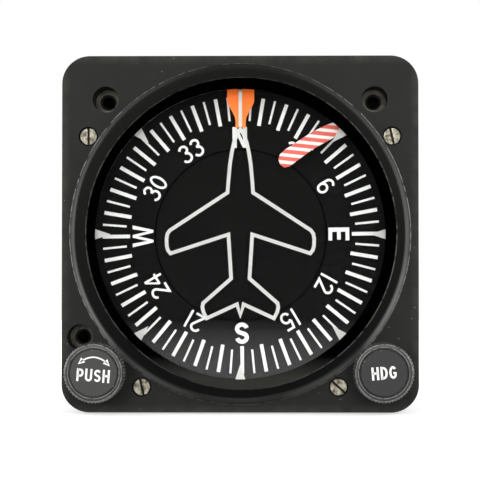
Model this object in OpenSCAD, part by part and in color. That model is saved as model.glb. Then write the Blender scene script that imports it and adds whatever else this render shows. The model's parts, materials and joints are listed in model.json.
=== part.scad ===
// Directional gyro indicator, an electric panel instrument of the small aircraft size.
// X is right and Z is up as the pilot sees it, and Y runs back into the case.
// The origin is at the centre of the flange's front face.

/* [Bezel] */
// Width and height of the square flange
flange_w = 83.3; // [82.6:0.1:86]
// Radius of the flange's corners
flange_corner_r = 6.5; // [5:0.5:8]
// Thickness of the flange
flange_t = 6; // [5.6:0.1:7]
// Height of the raised ring above the flange
ring_h = 4.5; // [3:0.1:5]
// Plain margin from the flange's edge to the ring's foot
ring_margin = 1.85; // [1.6:0.05:2.2]
// Width of the ring's outer slope
ring_slope_w = 1.5; // [1.2:0.1:2]
// Width of the ring's crest
ring_crest_w = 2.2; // [1.6:0.1:2.8]
// Width of the conical wall inside the ring's lip
window_slope_w = 2.1; // [1.6:0.1:2.6]

/* [Window] */
// Width of the glass's edge that the window's shoulder covers
glass_lap = 2.6; // [2.2:0.1:3]
// Thickness of the window glass
glass_t = 2.4; // [2:0.1:2.8]
// Thickness of the gasket in front of the glass
gasket_t = 0.5; // [0.3:0.1:0.7]

/* [Fixings] */
// Distance from the flange's edges to the centres of the upper mounting holes
mount_edge = 10.22; // [10:0.02:10.4]
// Angle of the lower left mounting hole below the horizontal
low_mount_angle = 32.9; // [31:0.1:34]
// Radius of the mounting bores in the flange
mount_bore_r = 3.05; // [2.8:0.05:3.2]
// Thread radius of the mounting inserts
insert_thread_r = 1.42; // [1.2:0.02:1.6]
// Distance from the flange's sides to the upper bezel screws
upper_screw_edge = 6.15; // [5.8:0.05:6.3]
// Distance from the flange's lower edge to the lower bezel screws
lower_screw_edge = 5.9; // [5.7:0.05:6.1]
// Metal between the ring's foot and an upper bezel screw's sink
upper_screw_gap = 0.141; // [0.1:0.001:0.6]
// Metal between the ring's foot and a lower bezel screw's sink
lower_screw_gap = 0.432; // [0.1:0.001:0.6]

/* [Knobs] */
// Angle of the knobs below the horizontal
knob_angle = 44.208; // [43:0.001:46]
// Gap between a knob and the ring's crest
knob_ring_gap = 0.837; // [0.7:0.001:1.6]
// Outer radius of a knob
knob_r = 6.9; // [6:0.05:7.2]
// Length of a knob
knob_len = 9.2; // [8:0.1:10]
// Gap behind the heading knob
heading_knob_gap = 3.8; // [3:0.1:5]
// Gap behind the push knob
push_knob_gap = 5.2; // [5:0.1:6]
// Travel of the push knob
push_travel = 4; // [3:0.1:4.2]
// Radius of the knob shafts
knob_shaft_r = 1.6; // [1.4:0.05:1.8]

/* [Dial] */
// Width of the card's edge that the window's shoulder hides
card_lap = 0.8; // [0.4:0.1:1]
// Thickness of the compass card
card_t = 1.2; // [1:0.1:1.5]
// Distance from the flange's back face to the card
card_depth = 5; // [4.8:0.1:5.3]
// Angle by which the card is off north, counter-clockwise
card_offset = 0.64; // [0:0.01:2]
// Gap seen between the window's edge and the card's ticks
tick_gap = 1.05; // [0.6:0.05:1.5]
// Length of the ten degree ticks
long_tick_len = 6.55; // [6:0.05:7]
// Length of the five degree ticks
short_tick_len = 5.65; // [5:0.05:6]
// Width of the ten degree ticks
long_tick_w = 0.86; // [0.7:0.02:1]
// Width of the five degree ticks
short_tick_w = 0.5; // [0.4:0.02:0.7]
// Gap between the long ticks and the card's letters
letter_gap = 0.625; // [0.3:0.025:1]
// Height of the card's numbers
number_h = 4.45; // [3.9:0.05:4.6]
// Height of the card's letters
letter_h = 4.95; // [4.6:0.05:5]
// Gap between the card's letters and the plain disc in its middle
disc_gap = 0.525; // [0.3:0.025:1]

/* [Gyro] */
// Distance from the housing's back wall to the layshaft
layshaft_depth = 22; // [21.5:0.1:24]
// Thickness of the outer gimbal ring
gimbal_ring_wall = 3; // [2.4:0.1:3.4]
// Room between the rotor case and the gimbal ring
rotor_case_room = 5.5; // [5:0.1:6]
// Gap between the rotor and its case
rotor_gap = 1.6; // [1:0.1:2]
// Half the length of the rotor case
rotor_case_half = 13; // [12.8:0.1:13.5]
// Gap between the two spur gears that link the gyro to the card and the can
link_gear_gap = 1.023; // [0.6:0.001:1.5]
// Pitch radius of the two bevel gears
bevel_r = 7; // [6.5:0.1:7.5]

/* [Case] */
// Distance from the flange's edge in to the rear can
can_margin = 2.15; // [2:0.05:2.6]
// Wall of the rear can
can_wall = 1.2; // [1:0.1:1.4]
// Distance from the front of the inverter board to the can's end
board_room = 25; // [24:0.5:40]
// Depth of the square front housing behind the flange
housing_len = 20; // [19:0.5:22]
// Wall of the square front housing
housing_wall = 1.5; // [1.2:0.1:1.55]
// Thickness of the rear cover
cover_t = 4; // [3:0.5:6]
// Outer radius of the connector shell
connector_r = 8; // [7:0.1:9]
// Length of the connector shell behind the cover
connector_len = 14; // [12:0.5:18]

/* [Running clearances] */
// Radial clearance of a shaft in its bush
run_gap = 0.05; // [0.03:0.01:0.08]
// Gap between faces that pass each other
face_gap = 0.3; // [0.25:0.05:0.4]

/* [Hidden] */
$fn = 96;

// Depths along Y of the parts stacked behind the flange's front face
shoulder_y = 1.5;
glass_y = shoulder_y + gasket_t;
glass_back_y = glass_y + glass_t;
print_t = 0.1;
glass_ring_t = 1.2;
housing_y = flange_t;
card_y = housing_y + card_depth;
housing_end_y = housing_y + housing_len;
back_wall_t = 2;
back_wall_y = housing_end_y - back_wall_t;
plate_t = 2;
front_plate_y = card_y + 3;
mid_plate_y = back_wall_y - plate_t;
setting_gear_y = front_plate_y + plate_t + 1;
bug_gear_y = card_y - 1;
gear_t = 1.6;

// The radii of the bezel and the window, from the flange's edge inwards
flange_half = flange_w / 2;
ring_foot_r = flange_half - ring_margin;
ring_crest_r = ring_foot_r - ring_slope_w;
ring_lip_r = ring_crest_r - ring_crest_w;
window_r = ring_lip_r - window_slope_w;
glass_r = window_r + glass_lap;
housing_half = flange_half - housing_wall;

// The bores and seats of the flange
glass_seat_r = glass_r + 0.3;
window_step_r = glass_r - 0.9;
head_r = 1.9;
head_sink_r = 2.25;
head_sink = 2.8;
screw_r = 1;
screw_hole_r = 1.05;
insert_r = mount_bore_r - run_gap;
insert_y = housing_y + 2.5;
insert_len = 8.5;
insert_mouth_r = 1.9;
insert_mouth = 1.2;
upper_mount = flange_half - mount_edge;
mount_r = upper_mount * sqrt(2);
mounts = [
    [-upper_mount, upper_mount],
    [upper_mount, upper_mount],
    [-mount_r * cos(low_mount_angle), -mount_r * sin(low_mount_angle)]];
upper_screw_x = flange_half - upper_screw_edge;
upper_screw_z = sqrt(pow(ring_foot_r + head_sink_r + upper_screw_gap, 2) - pow(upper_screw_x, 2));
lower_screw_z = flange_half - lower_screw_edge;
lower_screw_x = sqrt(pow(ring_foot_r + head_sink_r + lower_screw_gap, 2) - pow(lower_screw_z, 2));
bezel_screw_at = [
    [-upper_screw_x, upper_screw_z], [upper_screw_x, upper_screw_z],
    [-lower_screw_x, -lower_screw_z], [lower_screw_x, -lower_screw_z]];
boss_r = 4;
screw_boss_r = 1.9;
screw_slot_turns = [90, 103, 103, 138];

// The two knobs and their gears
knob_centre_r = ring_crest_r + knob_r + knob_ring_gap;
push_at = knob_centre_r * [-cos(knob_angle), -sin(knob_angle)];
heading_at = knob_centre_r * [cos(knob_angle), -sin(knob_angle)];
ring_teeth = 125;
pinion_teeth = 21;
tooth_module = 2 * knob_centre_r / (ring_teeth + pinion_teeth);
setting_teeth = 100;
idler_teeth = 20;
set_pinion_teeth = 14;
set_module = 2 * knob_centre_r / (setting_teeth + 2 * idler_teeth + set_pinion_teeth);
setting_pitch_r = set_module * setting_teeth / 2;
idler_pitch_r = set_module * idler_teeth / 2;
set_pinion_pitch_r = set_module * set_pinion_teeth / 2;
ring_pitch_r = tooth_module * ring_teeth / 2;
pinion_pitch_r = tooth_module * pinion_teeth / 2;
tooth_add = 0.4;
tooth_ded = 0.6;
heading_angle = atan2(heading_at[1], heading_at[0]);
push_angle = atan2(push_at[1], push_at[0]);
pinion_pocket_r = pinion_pitch_r + tooth_add + 0.45;
bush_r = knob_shaft_r + 1.2;
bush_end_y = flange_t + 3;
cap_r = 5.5;
cap_t = 1;
cap_gap = 0.25;
knob_well_r = 3.4;
knob_well = 4;
knob_taper = 1.6;
idler_at = (setting_pitch_r + idler_pitch_r) / knob_centre_r * push_at;
push_pinion_y = bug_gear_y + gear_t + 0.6;
push_pinion_t = 2.2;
slide_y = setting_gear_y + gear_t + face_gap;
slide_t = 1;
push_shaft_end = slide_y + 2;
collar_r = 2.4;

// The compass card and what turns round it
card_r = window_r + card_lap;
tick_outer_r = window_r - tick_gap;
long_tick_r = tick_outer_r - long_tick_len;
short_tick_r = tick_outer_r - short_tick_len;
number_r = long_tick_r - letter_gap - letter_h / 2;
centre_disc_r = number_r - letter_h / 2 - disc_gap;
sleeve_in_r = card_r + 0.7;
sleeve_r = sleeve_in_r + 0.8;
sleeve_front_y = bug_gear_y - 0.7;
hub_r = centre_disc_r + 1.7;
hub_t = 1;
card_shaft_r = 1.5;
bug_plate_y = bug_gear_y - 1.5;
bug_plate_t = 0.6;
post_r = 2.1;
post_x = housing_half - post_r - 0.75;
post_z = housing_half - post_r - 1.75;
post_at = [[-22, post_z], [22, post_z], [post_x, -24.1]];

// The flag and its pivot
flag_y = housing_y + 0.3;
flag_t = 0.4;
flag_hub_end_y = flag_y + 1.5;
flag_pivot_r = 0.6;
flag_pivot_angle = 48.98;
flag_pivot_at = (glass_seat_r + 1.801) * [cos(flag_pivot_angle), sin(flag_pivot_angle)];
bug_foot_r = sleeve_r + 2.3;
flag_coil_r = 2.8;
flag_coil_at = (bug_foot_r + 0.5 + flag_coil_r) * [cos(60.87), sin(60.87)];
flag_coil_len = bug_gear_y - housing_y - 0.5;

// The gyro
can_r = flange_half - can_margin;
can_in_r = can_r - can_wall;
rail_t = 3;
rail_half_w = 11;
rail_gap = 0.486;
rail_z = sqrt(pow(can_in_r, 2) - pow(rail_half_w, 2)) - rail_gap - rail_t;
link_gear_z = rail_z - gear_t - 0.8;
link_gear_r = sqrt(pow(can_in_r, 2) - pow(link_gear_z + gear_t, 2)) - tooth_add - link_gear_gap;
link_teeth = 60;
layshaft_y = back_wall_y + layshaft_depth;
gyro_y = layshaft_y + 2 * link_gear_r;
rear_plate_y = gyro_y + 34;
cam_t = 1.6;
cam_z = link_gear_z - cam_t - 0.6;
gimbal_ring_r = cam_z - 0.6;
gimbal_ring_in_r = gimbal_ring_r - gimbal_ring_wall;
gimbal_ring_t = 6;
gimbal_shaft_r = 1.5;
bearing_r = 3.5;
bevel_teeth = 24;
bevel_face = 3;
case_wall = 1.4;
rotor_case_r = gimbal_ring_in_r - rotor_case_room;
rotor_r = rotor_case_r - case_wall - rotor_gap;
rotor_rim = 4.5;
rotor_in_r = rotor_r - rotor_rim;
stator_r = rotor_in_r - 1.1;
rotor_half = rotor_case_half - 6;
rotor_shaft_r = 1.6;
rotor_bearing_r = 4;
arm_pivot = [-9.5, layshaft_y + link_gear_r];
tail_len = 12;
arm_swing = asin(push_travel / tail_len);
arm_closed = [1, 11.1];
roller_r = 2.3;
slide_rod_at = [arm_pivot[0] - tail_len, -cam_z - 0.8];
card_bush_r = 3;
layshaft_r = 1.2;
layshaft_bush_r = 2.4;
can_screw_x = flange_half - 4.85;
can_screw_z = flange_half - 7.45;
low_can_screw_x = heading_at[0] - 6;
can_screw_at = [
    [-can_screw_x, 21.5], [can_screw_x, 21.5],
    [-low_can_screw_x, -can_screw_z], [low_can_screw_x, -can_screw_z]];
cover_screw_at = [for (a = [45 : 90 : 315]) (can_r - 4) * [cos(a), sin(a)]];
lug_r = 2.6;
connector_half = 12;
board_y = rear_plate_y + plate_t + 7;
can_end_y = board_y + board_room;

// Draws its child as seen from the front and makes it a slab from depth a to depth b.
module slab(a, b) {
    translate([0, b, 0]) rotate([90, 0, 0]) linear_extrude(b - a) children();
}

// A round bar along Y from depth a to depth b.
module bar(a, b, r, at = [0, 0]) {
    translate([at[0], a, at[1]]) rotate([-90, 0, 0]) cylinder(h = b - a, r = r);
}

// A round tube along Y from depth a to depth b.
module tube(a, b, r, bore, at = [0, 0]) {
    difference() {
        bar(a, b, r, at);
        bar(a - 1, b + 1, bore, at);
    }
}

// A turned part about a line along Y, from points of radius and depth.
module turned(points, at = [0, 0]) {
    translate([at[0], 0, at[1]]) rotate([-90, 0, 0]) rotate_extrude() polygon(points);
}

// A square of full width w with round corners.
module round_square(w, r) {
    h = w / 2 - r;
    union() {
        square([w, 2 * h], center = true);
        square([2 * h, w], center = true);
        for (x = [-h, h]) for (y = [-h, h]) translate([x, y]) circle(r);
    }
}

// Points of an arc, or of part of an ellipse.
function arc(c, rx, ry, from, to, n) =
    [for (i = [0 : n]) let (a = from + (to - from) * i / n) [c[0] + rx * cos(a), c[1] + ry * sin(a)]];

// The sideways step at point i of a path drawn w wide.
function dir(a, b) = (b - a) / norm(b - a);
function left(v) = [-v[1], v[0]];
function side(p, i, w) =
    let (
        n = len(p) - 1,
        before = left(dir(p[max(i - 1, 0)], p[max(i, 1)])),
        after = left(dir(p[min(i, n - 1)], p[min(i + 1, n)])),
        mid = (before + after) / norm(before + after))
    mid * w / 2 / max(mid * after, 0.35);

// A ribbon w wide along a path.
function ribbon(p, w) = concat(
    [for (i = [0 : len(p) - 1]) p[i] + side(p, i, w)],
    [for (i = [len(p) - 1 : -1 : 0]) p[i] - side(p, i, w)]);

// A closed outline moved outwards by d, or inwards where d is negative.
function grown(p, d) = [
    for (i = [0 : len(p) - 1])
    let (
        n = len(p),
        before = left(dir(p[(i + n - 1) % n], p[i])),
        after = left(dir(p[i], p[(i + 1) % n])),
        mid = (before + after) / norm(before + after))
    p[i] - mid * d / max(mid * after, 0.5)];

// A gear's outline, with a gap towards the angle given.
function gear_outline(n, pitch_r, gap_at) = [
    for (i = [0 : n - 1])
    let (mid = gap_at + (i + 0.5) * 360 / n)
    for (c = [[-tooth_ded, -0.25], [tooth_add, -0.11], [tooth_add, 0.11], [-tooth_ded, 0.25]])
    let (r = pitch_r + c[0], a = mid + c[1] * 360 / n)
    [r * cos(a), r * sin(a)]];

// A screw along Y with its head's front face at depth a, turned so that its slot lies at the angle given.
module slotted_screw(a, head, head_t, shank, end, at, turn) {
    difference() {
        union() {
            bar(a, a + head_t, head, at);
            bar(a + head_t - 0.1, end, shank, at);
        }
        translate([at[0], a, at[1]]) rotate([0, -turn, 0]) cube([3 * head, 1.2, 0.55], center = true);
    }
}

module bezel() {
    color([0.13, 0.13, 0.125])
    difference() {
        union() {
            slab(0, flange_t) round_square(flange_w, flange_corner_r);
            turned([[window_r - 1, shoulder_y + 1], [ring_lip_r, -ring_h + 0.5], [ring_crest_r, -ring_h],
                [ring_foot_r - 0.5, -0.8], [ring_foot_r, 0], [ring_foot_r, 1], [ring_lip_r, 3]]);
        }
        turned([[0, -ring_h - 1], [ring_lip_r + 0.4, -ring_h - 1], [ring_lip_r, -ring_h + 0.5],
            [window_r, shoulder_y], [glass_seat_r, shoulder_y], [glass_seat_r, flange_t + 1],
            [0, flange_t + 1]]);
        for (m = mounts) bar(-1, flange_t + 1, mount_bore_r, m);
        for (s = bezel_screw_at) {
            bar(-1, head_sink, head_sink_r, s);
            bar(0, flange_t + 1, screw_hole_r, s);
        }
        for (k = [push_at, heading_at]) bar(-1, flange_t + 1, bush_r, k);
        bar(flange_t - 2, flange_t + 1, flag_pivot_r, flag_pivot_at);
    }
}

module bezel_screws() {
    color("silver")
    for (i = [0 : 3])
        slotted_screw(0.7, head_r, head_sink - 0.7, screw_r, housing_y + 8, bezel_screw_at[i],
            screw_slot_turns[i]);
}

module window_gasket() {
    color([0.05, 0.05, 0.05]) tube(shoulder_y, glass_y, glass_r, window_r + 0.4);
}

module window_glass() {
    color([0.8, 0.9, 0.9, 0.3]) bar(glass_y, glass_back_y, glass_r);
}

aircraft_line_w = 0.85;
mark_base_w = 2.7;
mark_len = 3.5;
lubber_w = 0.83;
nose_gap = 9.3;
nose_z = window_r - nose_gap;
lubber_end_z = nose_z + 0.7;
// The left half of the aircraft's outline, from the nose round to the notch in the tail
aircraft_half = [
    [0, 24.7], [-0.75, 23.6], [-1.5, 21.6], [-2, 19.3], [-2.45, 16.4], [-2.85, 12], [-3, 9.8], [-16.6, 0.9],
    [-17.15, 0.1], [-17.35, -1.1], [-17.3, -2.8], [-17, -3.8], [-16.4, -4.5], [-2.8, -0.05], [-2.15, -10.4],
    [-8.75, -16.2], [-8.9, -17.2], [-8.65, -18.3], [-7.9, -19.75], [-0.75, -16.45], [0, -19]];
aircraft_outline = nose_z / aircraft_half[0][1] * concat(aircraft_half,
    [for (i = [len(aircraft_half) - 2 : -1 : 1]) [-aircraft_half[i][0], aircraft_half[i][1]]]);

module glass_markings() {
    color("white")
    slab(glass_back_y, glass_back_y + print_t) {
        difference() {
            polygon(grown(aircraft_outline, aircraft_line_w / 2));
            polygon(grown(aircraft_outline, -aircraft_line_w / 2));
        }
        translate([-lubber_w / 2, lubber_end_z]) square([lubber_w, window_r + 0.6 - lubber_end_z]);
        for (i = [1 : 7]) rotate(45 * i) polygon([
            [-mark_base_w / 2, window_r + 0.6], [0, window_r - mark_len], [mark_base_w / 2, window_r + 0.6]]);
    }
}

module glass_retaining_ring() {
    color([0.2, 0.2, 0.2])
    tube(glass_back_y, glass_back_y + glass_ring_t, glass_seat_r - run_gap, window_step_r);
}

module front_housing() {
    color([0.16, 0.16, 0.16])
    difference() {
        union() {
            difference() {
                slab(housing_y, housing_end_y) round_square(flange_w, flange_corner_r);
                slab(housing_y - 1, back_wall_y)
                    round_square(2 * housing_half, flange_corner_r - housing_wall);
                for (k = [push_at, heading_at]) bar(housing_y - 1, back_wall_y, pinion_pocket_r, k);
            }
            for (m = mounts) bar(flag_hub_end_y + face_gap, back_wall_y + 0.5, boss_r, m);
            for (s = bezel_screw_at) {
                bar(housing_y, housing_y + 10, screw_boss_r, s);
                slab(housing_y, housing_y + 10) screw_rib(s);
            }
        }
        bar(back_wall_y - 1, housing_end_y + 1, can_in_r - 0.2);
        for (m = mounts) bar(housing_y, housing_end_y + 1, mount_bore_r, m);
        for (s = bezel_screw_at) bar(housing_y - 1, housing_y + 9, screw_hole_r, s);
        for (p = post_at) bar(back_wall_y - 1, housing_end_y + 1, screw_hole_r, p);
        bar(back_wall_y - 1, housing_end_y + 1, collar_r + face_gap, push_at);
        for (s = can_screw_at) bar(housing_y + 10, housing_end_y + 1, screw_hole_r, s);
    }
}

// The web from a screw boss to the nearer wall of the housing.
module screw_rib(s) {
    reach = housing_half + 0.5;
    if (abs(s[0]) > abs(s[1]))
        translate([min(s[0], sign(s[0]) * reach), s[1] - 1]) square([reach - abs(s[0]), 2]);
    else
        translate([s[0] - 1, -reach]) square([2, reach - abs(s[1])]);
}

module threaded_inserts() {
    color([0.7, 0.6, 0.35])
    for (m = mounts)
        difference() {
            bar(insert_y, insert_y + insert_len, insert_r, m);
            bar(insert_y - 1, insert_y + insert_mouth, insert_mouth_r, m);
            bar(insert_y, insert_y + insert_len + 1, insert_thread_r, m);
        }
}

module dial_sleeve() {
    color([0.25, 0.25, 0.25])
    turned([[sleeve_in_r, sleeve_front_y], [sleeve_r, sleeve_front_y],
        [sleeve_r, bug_gear_y + gear_t + 0.2], [sleeve_r + 1.1, bug_gear_y + gear_t + 0.2],
        [sleeve_r + 1.1, front_plate_y], [sleeve_in_r, front_plate_y]]);
}

module plate_outline(r, ear_r) {
    circle(r);
    for (p = post_at) {
        translate(p) circle(ear_r);
        rotate(atan2(p[1], p[0])) translate([0, 0.4 - ear_r]) square([norm(p), 2 * ear_r - 0.8]);
    }
}

module front_plate() {
    color([0.6, 0.6, 0.62])
    difference() {
        slab(front_plate_y, front_plate_y + plate_t) plate_outline(sleeve_r + 1.1, post_r);
        bar(front_plate_y - 1, front_plate_y + plate_t + 1, card_bush_r);
        for (p = post_at) bar(front_plate_y - 1, front_plate_y + plate_t + 1, screw_hole_r, p);
    }
}

rail_screw_x = 7;
rail_screw_at = [for (s = [-1, 1], x = [-1, 1]) [x * rail_screw_x, s * (rail_z + rail_t / 2)]];

module mid_plate() {
    color([0.6, 0.6, 0.62])
    difference() {
        slab(mid_plate_y, back_wall_y) plate_outline(housing_half - 0.5, post_r);
        bar(mid_plate_y - 1, back_wall_y + 1, card_bush_r);
        for (p = post_at) bar(mid_plate_y - 1, back_wall_y + 1, screw_hole_r, p);
        slab(mid_plate_y - 1, back_wall_y + 1) translate([-flange_w, -flange_w])
            square([flange_w + slide_rod_at[0] + 3, flange_w + slide_rod_at[1] + 4.9]);
        for (s = rail_screw_at) bar(mid_plate_y - 1, back_wall_y + 1, 0.8, s);
    }
}

module plate_posts() {
    color("silver")
    for (p = post_at) tube(front_plate_y + plate_t, mid_plate_y, post_r - 0.2, screw_hole_r, p);
}

module frame_screws() {
    color("silver") {
        for (p = post_at) slotted_screw(front_plate_y - 1.4, head_r, 1.4, screw_r, housing_end_y, p, 20);
        for (s = rail_screw_at) slotted_screw(mid_plate_y - 1.1, 1.3, 1.1, 0.7, back_wall_y + 6, s, 60);
    }
}

// A rail between the mid plate and the rear plate, above the gyro or below it.
module rail(up) {
    top = up * (rail_z + rail_t / 2);
    difference() {
        slab(back_wall_y, rear_plate_y) translate([0, top]) square([2 * rail_half_w, rail_t], center = true);
        for (x = [-rail_screw_x, rail_screw_x]) bar(back_wall_y - 1, back_wall_y + 7, 0.75, [x, top]);
        translate([0, layshaft_y, top]) cylinder(h = 2 * rail_t, r = layshaft_bush_r, center = true);
        translate([0, gyro_y, top]) cylinder(h = 2 * rail_t, r = bearing_r, center = true);
        if (up < 0)
            translate([arm_pivot[0], arm_pivot[1], top]) cylinder(h = 2 * rail_t, r = 1, center = true);
    }
}

module frame_rails() {
    color([0.62, 0.62, 0.6]) {
        rail(1);
        rail(-1);
    }
}

module rear_plate() {
    color([0.6, 0.6, 0.62])
    difference() {
        bar(rear_plate_y, rear_plate_y + plate_t, can_in_r - face_gap);
        bar(rear_plate_y - 1, rear_plate_y + plate_t + 1, 6);
    }
}

module shaft_bushings() {
    color([0.75, 0.6, 0.3]) {
        for (y = [front_plate_y, mid_plate_y])
            tube(y - 0.4, y + plate_t + 0.4, card_bush_r - 0.02, card_shaft_r + run_gap);
        for (up = [-1, 1])
            translate([0, layshaft_y, up * (rail_z + rail_t / 2)])
                difference() {
                    cylinder(h = rail_t, r = layshaft_bush_r - 0.02, center = true);
                    cylinder(h = 2 * rail_t, r = layshaft_r + run_gap, center = true);
                }
        for (k = [push_at, heading_at]) tube(0.6, bush_end_y, bush_r - 0.02, knob_shaft_r + run_gap, k);
    }
}

module gimbal_bearings() {
    color("silver")
    for (up = [-1, 1])
        translate([0, gyro_y, up * (rail_z + rail_t / 2)])
            difference() {
                cylinder(h = rail_t - 0.4, r = bearing_r - 0.02, center = true);
                cylinder(h = 2 * rail_t, r = gimbal_shaft_r + run_gap, center = true);
            }
}

slip_ring_r = 3;
brush_z = [for (i = [0 : 2]) cam_z + 1.3 + 1.1 * i];

module brush_block() {
    block_y = gyro_y + slip_ring_r + 3;
    color([0.45, 0.25, 0.12]) {
        translate([-2.5, block_y, cam_z + 0.4]) cube([5, 4, rail_z - cam_z - 0.4]);
        for (z = brush_z) translate([0, gyro_y + slip_ring_r + face_gap, z]) rotate([-90, 0, 0])
            cylinder(h = 3 - face_gap, r = 0.3);
    }
}

module pivot_pins() {
    color("silver") {
        translate([arm_pivot[0], arm_pivot[1], -rail_z - rail_t])
            cylinder(h = rail_z + rail_t - cam_z + face_gap, r = 1);
        bar(flange_t - 2, flag_y + 1.6, flag_pivot_r, flag_pivot_at);
        bar(flag_y + 1.6, flag_y + 2, 1, flag_pivot_at);
        bar(front_plate_y + plate_t, setting_gear_y + gear_t + 0.1, 1, idler_at);
    }
}

module flag_coil() {
    color([0.6, 0.35, 0.15]) {
        bar(housing_y, housing_y + flag_coil_len, 1, flag_coil_at);
        for (y = [0, flag_coil_len - 0.5])
            tube(housing_y + y, housing_y + y + 0.5, flag_coil_r, 1, flag_coil_at);
        tube(housing_y + 0.5, housing_y + flag_coil_len - 0.5, flag_coil_r - 0.3, 1, flag_coil_at);
    }
}

module rear_can() {
    color([0.15, 0.15, 0.15])
    difference() {
        union() {
            bar(housing_end_y, can_end_y, can_r);
            slab(housing_end_y, housing_end_y + 2) round_square(flange_w - 1.4, flange_corner_r);
        }
        difference() {
            bar(housing_end_y - 1, can_end_y + 1, can_in_r);
            for (s = cover_screw_at) hull() {
                bar(can_end_y - 8, can_end_y + 2, lug_r, s);
                bar(can_end_y - 8, can_end_y + 2, lug_r, s * 1.1);
            }
        }
        for (s = cover_screw_at) bar(can_end_y - 7, can_end_y + 1, screw_hole_r, s);
        for (s = can_screw_at) bar(housing_end_y - 1, housing_end_y + 3, screw_hole_r + 0.1, s);
    }
}

connector_screw_at = [for (x = [-1, 1], z = [-1, 1]) (connector_half - 2.6) * [x, z]];

module case_screws() {
    color("silver") {
        for (s = can_screw_at) mirror([0, 1, 0])
            slotted_screw(-housing_end_y - 3.5, head_r, 1.5, screw_r, -back_wall_y - 0.2, s, 35);
        for (s = cover_screw_at) mirror([0, 1, 0])
            slotted_screw(-can_end_y - cover_t - 1.5, head_r, 1.5, screw_r, -can_end_y + 6, s, 65);
        for (s = connector_screw_at) mirror([0, 1, 0])
            slotted_screw(-can_end_y - cover_t - 3.2, 1.5, 1.2, 0.8, -can_end_y - 1, s, 15);
    }
}

board_r = can_in_r - 5.3;
board_t = 1.6;
board_post_at = [for (a = [0 : 90 : 270]) (board_r - 5) * [cos(a), sin(a)]];

module inverter_board() {
    color([0.1, 0.35, 0.2])
    difference() {
        bar(board_y, board_y + board_t, board_r);
        for (p = board_post_at) bar(board_y - 1, board_y + board_t + 1, screw_hole_r, p);
    }
}

module board_posts() {
    color("silver")
    for (p = board_post_at) {
        tube(rear_plate_y + plate_t, board_y, 2.2, screw_r, p);
        bar(rear_plate_y + plate_t, board_y + board_t, screw_r, p);
        bar(board_y + board_t, board_y + board_t + 1.2, 1.8, p);
    }
}

module board_parts() {
    top = board_y + board_t;
    color([0.2, 0.2, 0.22]) {
        translate([-11, top, -8]) cube([16, 10, 14]);
        translate([-13, top + 2, -6]) cube([2, 6, 10]);
        translate([5, top + 2, -6]) cube([2, 6, 10]);
        for (p = [[14, 6], [14, -2], [14, -10]]) bar(top, top + 11, 3.2, p);
        for (p = [[-18, 12], [-9, 17], [2, 19]]) bar(top, top + 5, 3, p);
        for (x = [-16 : 6 : 8]) translate([x, top, -20]) cube([3, 2.4, 7]);
    }
}

module rear_cover() {
    color([0.15, 0.15, 0.15])
    difference() {
        bar(can_end_y, can_end_y + cover_t, can_r);
        bar(can_end_y - 1, can_end_y + cover_t + 1, connector_r - 1.2);
        for (s = cover_screw_at) bar(can_end_y - 1, can_end_y + cover_t + 1, screw_hole_r, s);
        for (s = connector_screw_at) bar(can_end_y + 0.5, can_end_y + cover_t + 1, 0.85, s);
    }
}

module connector_shell() {
    back = can_end_y + cover_t;
    color([0.55, 0.55, 0.5])
    difference() {
        union() {
            slab(back, back + 2) round_square(2 * connector_half, 2.5);
            bar(back, back + connector_len, connector_r);
        }
        bar(back - 1, back + connector_len + 1, connector_r - 1.2);
        for (s = connector_screw_at) bar(back - 1, back + 3, 0.9, s);
        slab(back + connector_len - 6, back + connector_len + 1)
            translate([-0.8, connector_r - 2.5]) square([1.6, 2]);
    }
}

pin_at = concat([[0, 0]], [for (a = [0 : 60 : 300]) [4.2 * cos(a + 15), 4.2 * sin(a + 15)]]);

module connector_insulator() {
    color([0.35, 0.18, 0.1])
    difference() {
        bar(can_end_y - 2, can_end_y + cover_t + 5, connector_r - 1.22);
        for (p = pin_at) bar(can_end_y - 3, can_end_y + cover_t + 6, 0.6, p);
    }
}

module connector_pins() {
    color("gold") for (p = pin_at) bar(can_end_y - 5, can_end_y + cover_t + connector_len - 5, 0.6, p);
}

// Outlines of the numbers and letters, in a box one unit high
stroke_w = 0.125;
digit_half_w = 0.29;
bold_w = 0.2;

module ring_shape(c, rx, ry) {
    difference() {
        polygon(arc(c, rx + stroke_w / 2, ry + stroke_w / 2, 0, 345, 23));
        polygon(arc(c, rx - stroke_w / 2, ry - stroke_w / 2, 0, 345, 23));
    }
}

module digit(d) {
    e = stroke_w / 2;
    w = digit_half_w;
    if (d == 1) translate([-e, 0]) square([stroke_w, 1]);
    if (d == 2) {
        hook = arc([0, 0.73], w - e, 0.27 - e, 175, -30, 12);
        polygon(ribbon(concat(hook, [[e - w, e], [w, e]]), stroke_w));
    }
    if (d == 3) {
        polygon(ribbon(arc([-0.01, 0.74], w - 0.02 - e, 0.26 - e, 165, -90, 12), stroke_w));
        polygon(ribbon(arc([-0.01, 0.3], w + 0.01 - e, 0.3 - e, 90, -160, 12), stroke_w));
    }
    if (d == 4) difference() {
        polygon([[-0.31, 0.27], [-0.31, 0.37], [0.06, 1], [0.19, 1], [0.19, 0.39], [0.31, 0.39], [0.31, 0.27],
            [0.19, 0.27], [0.19, 0], [0.07, 0], [0.07, 0.27]]);
        polygon([[-0.18, 0.39], [0.07, 0.82], [0.07, 0.39]]);
    }
    if (d == 5) {
        polygon(ribbon([[0.24, 1 - e], [-0.15, 1 - e], [-0.2, 0.52]], stroke_w));
        polygon(ribbon(arc([0, 0.32], w - e, 0.32 - e, 145, -160, 13), stroke_w));
    }
    if (d == 6) {
        ring_shape([0, 0.31], w - e, 0.31 - e);
        polygon(ribbon(concat(arc([0, 0.68], w - e, 0.32 - e, 38, 180, 9), [[e - w, 0.31]]), stroke_w));
    }
    if (d == 0) ring_shape([0, 0.5], w - e, 0.5 - e);
}

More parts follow.
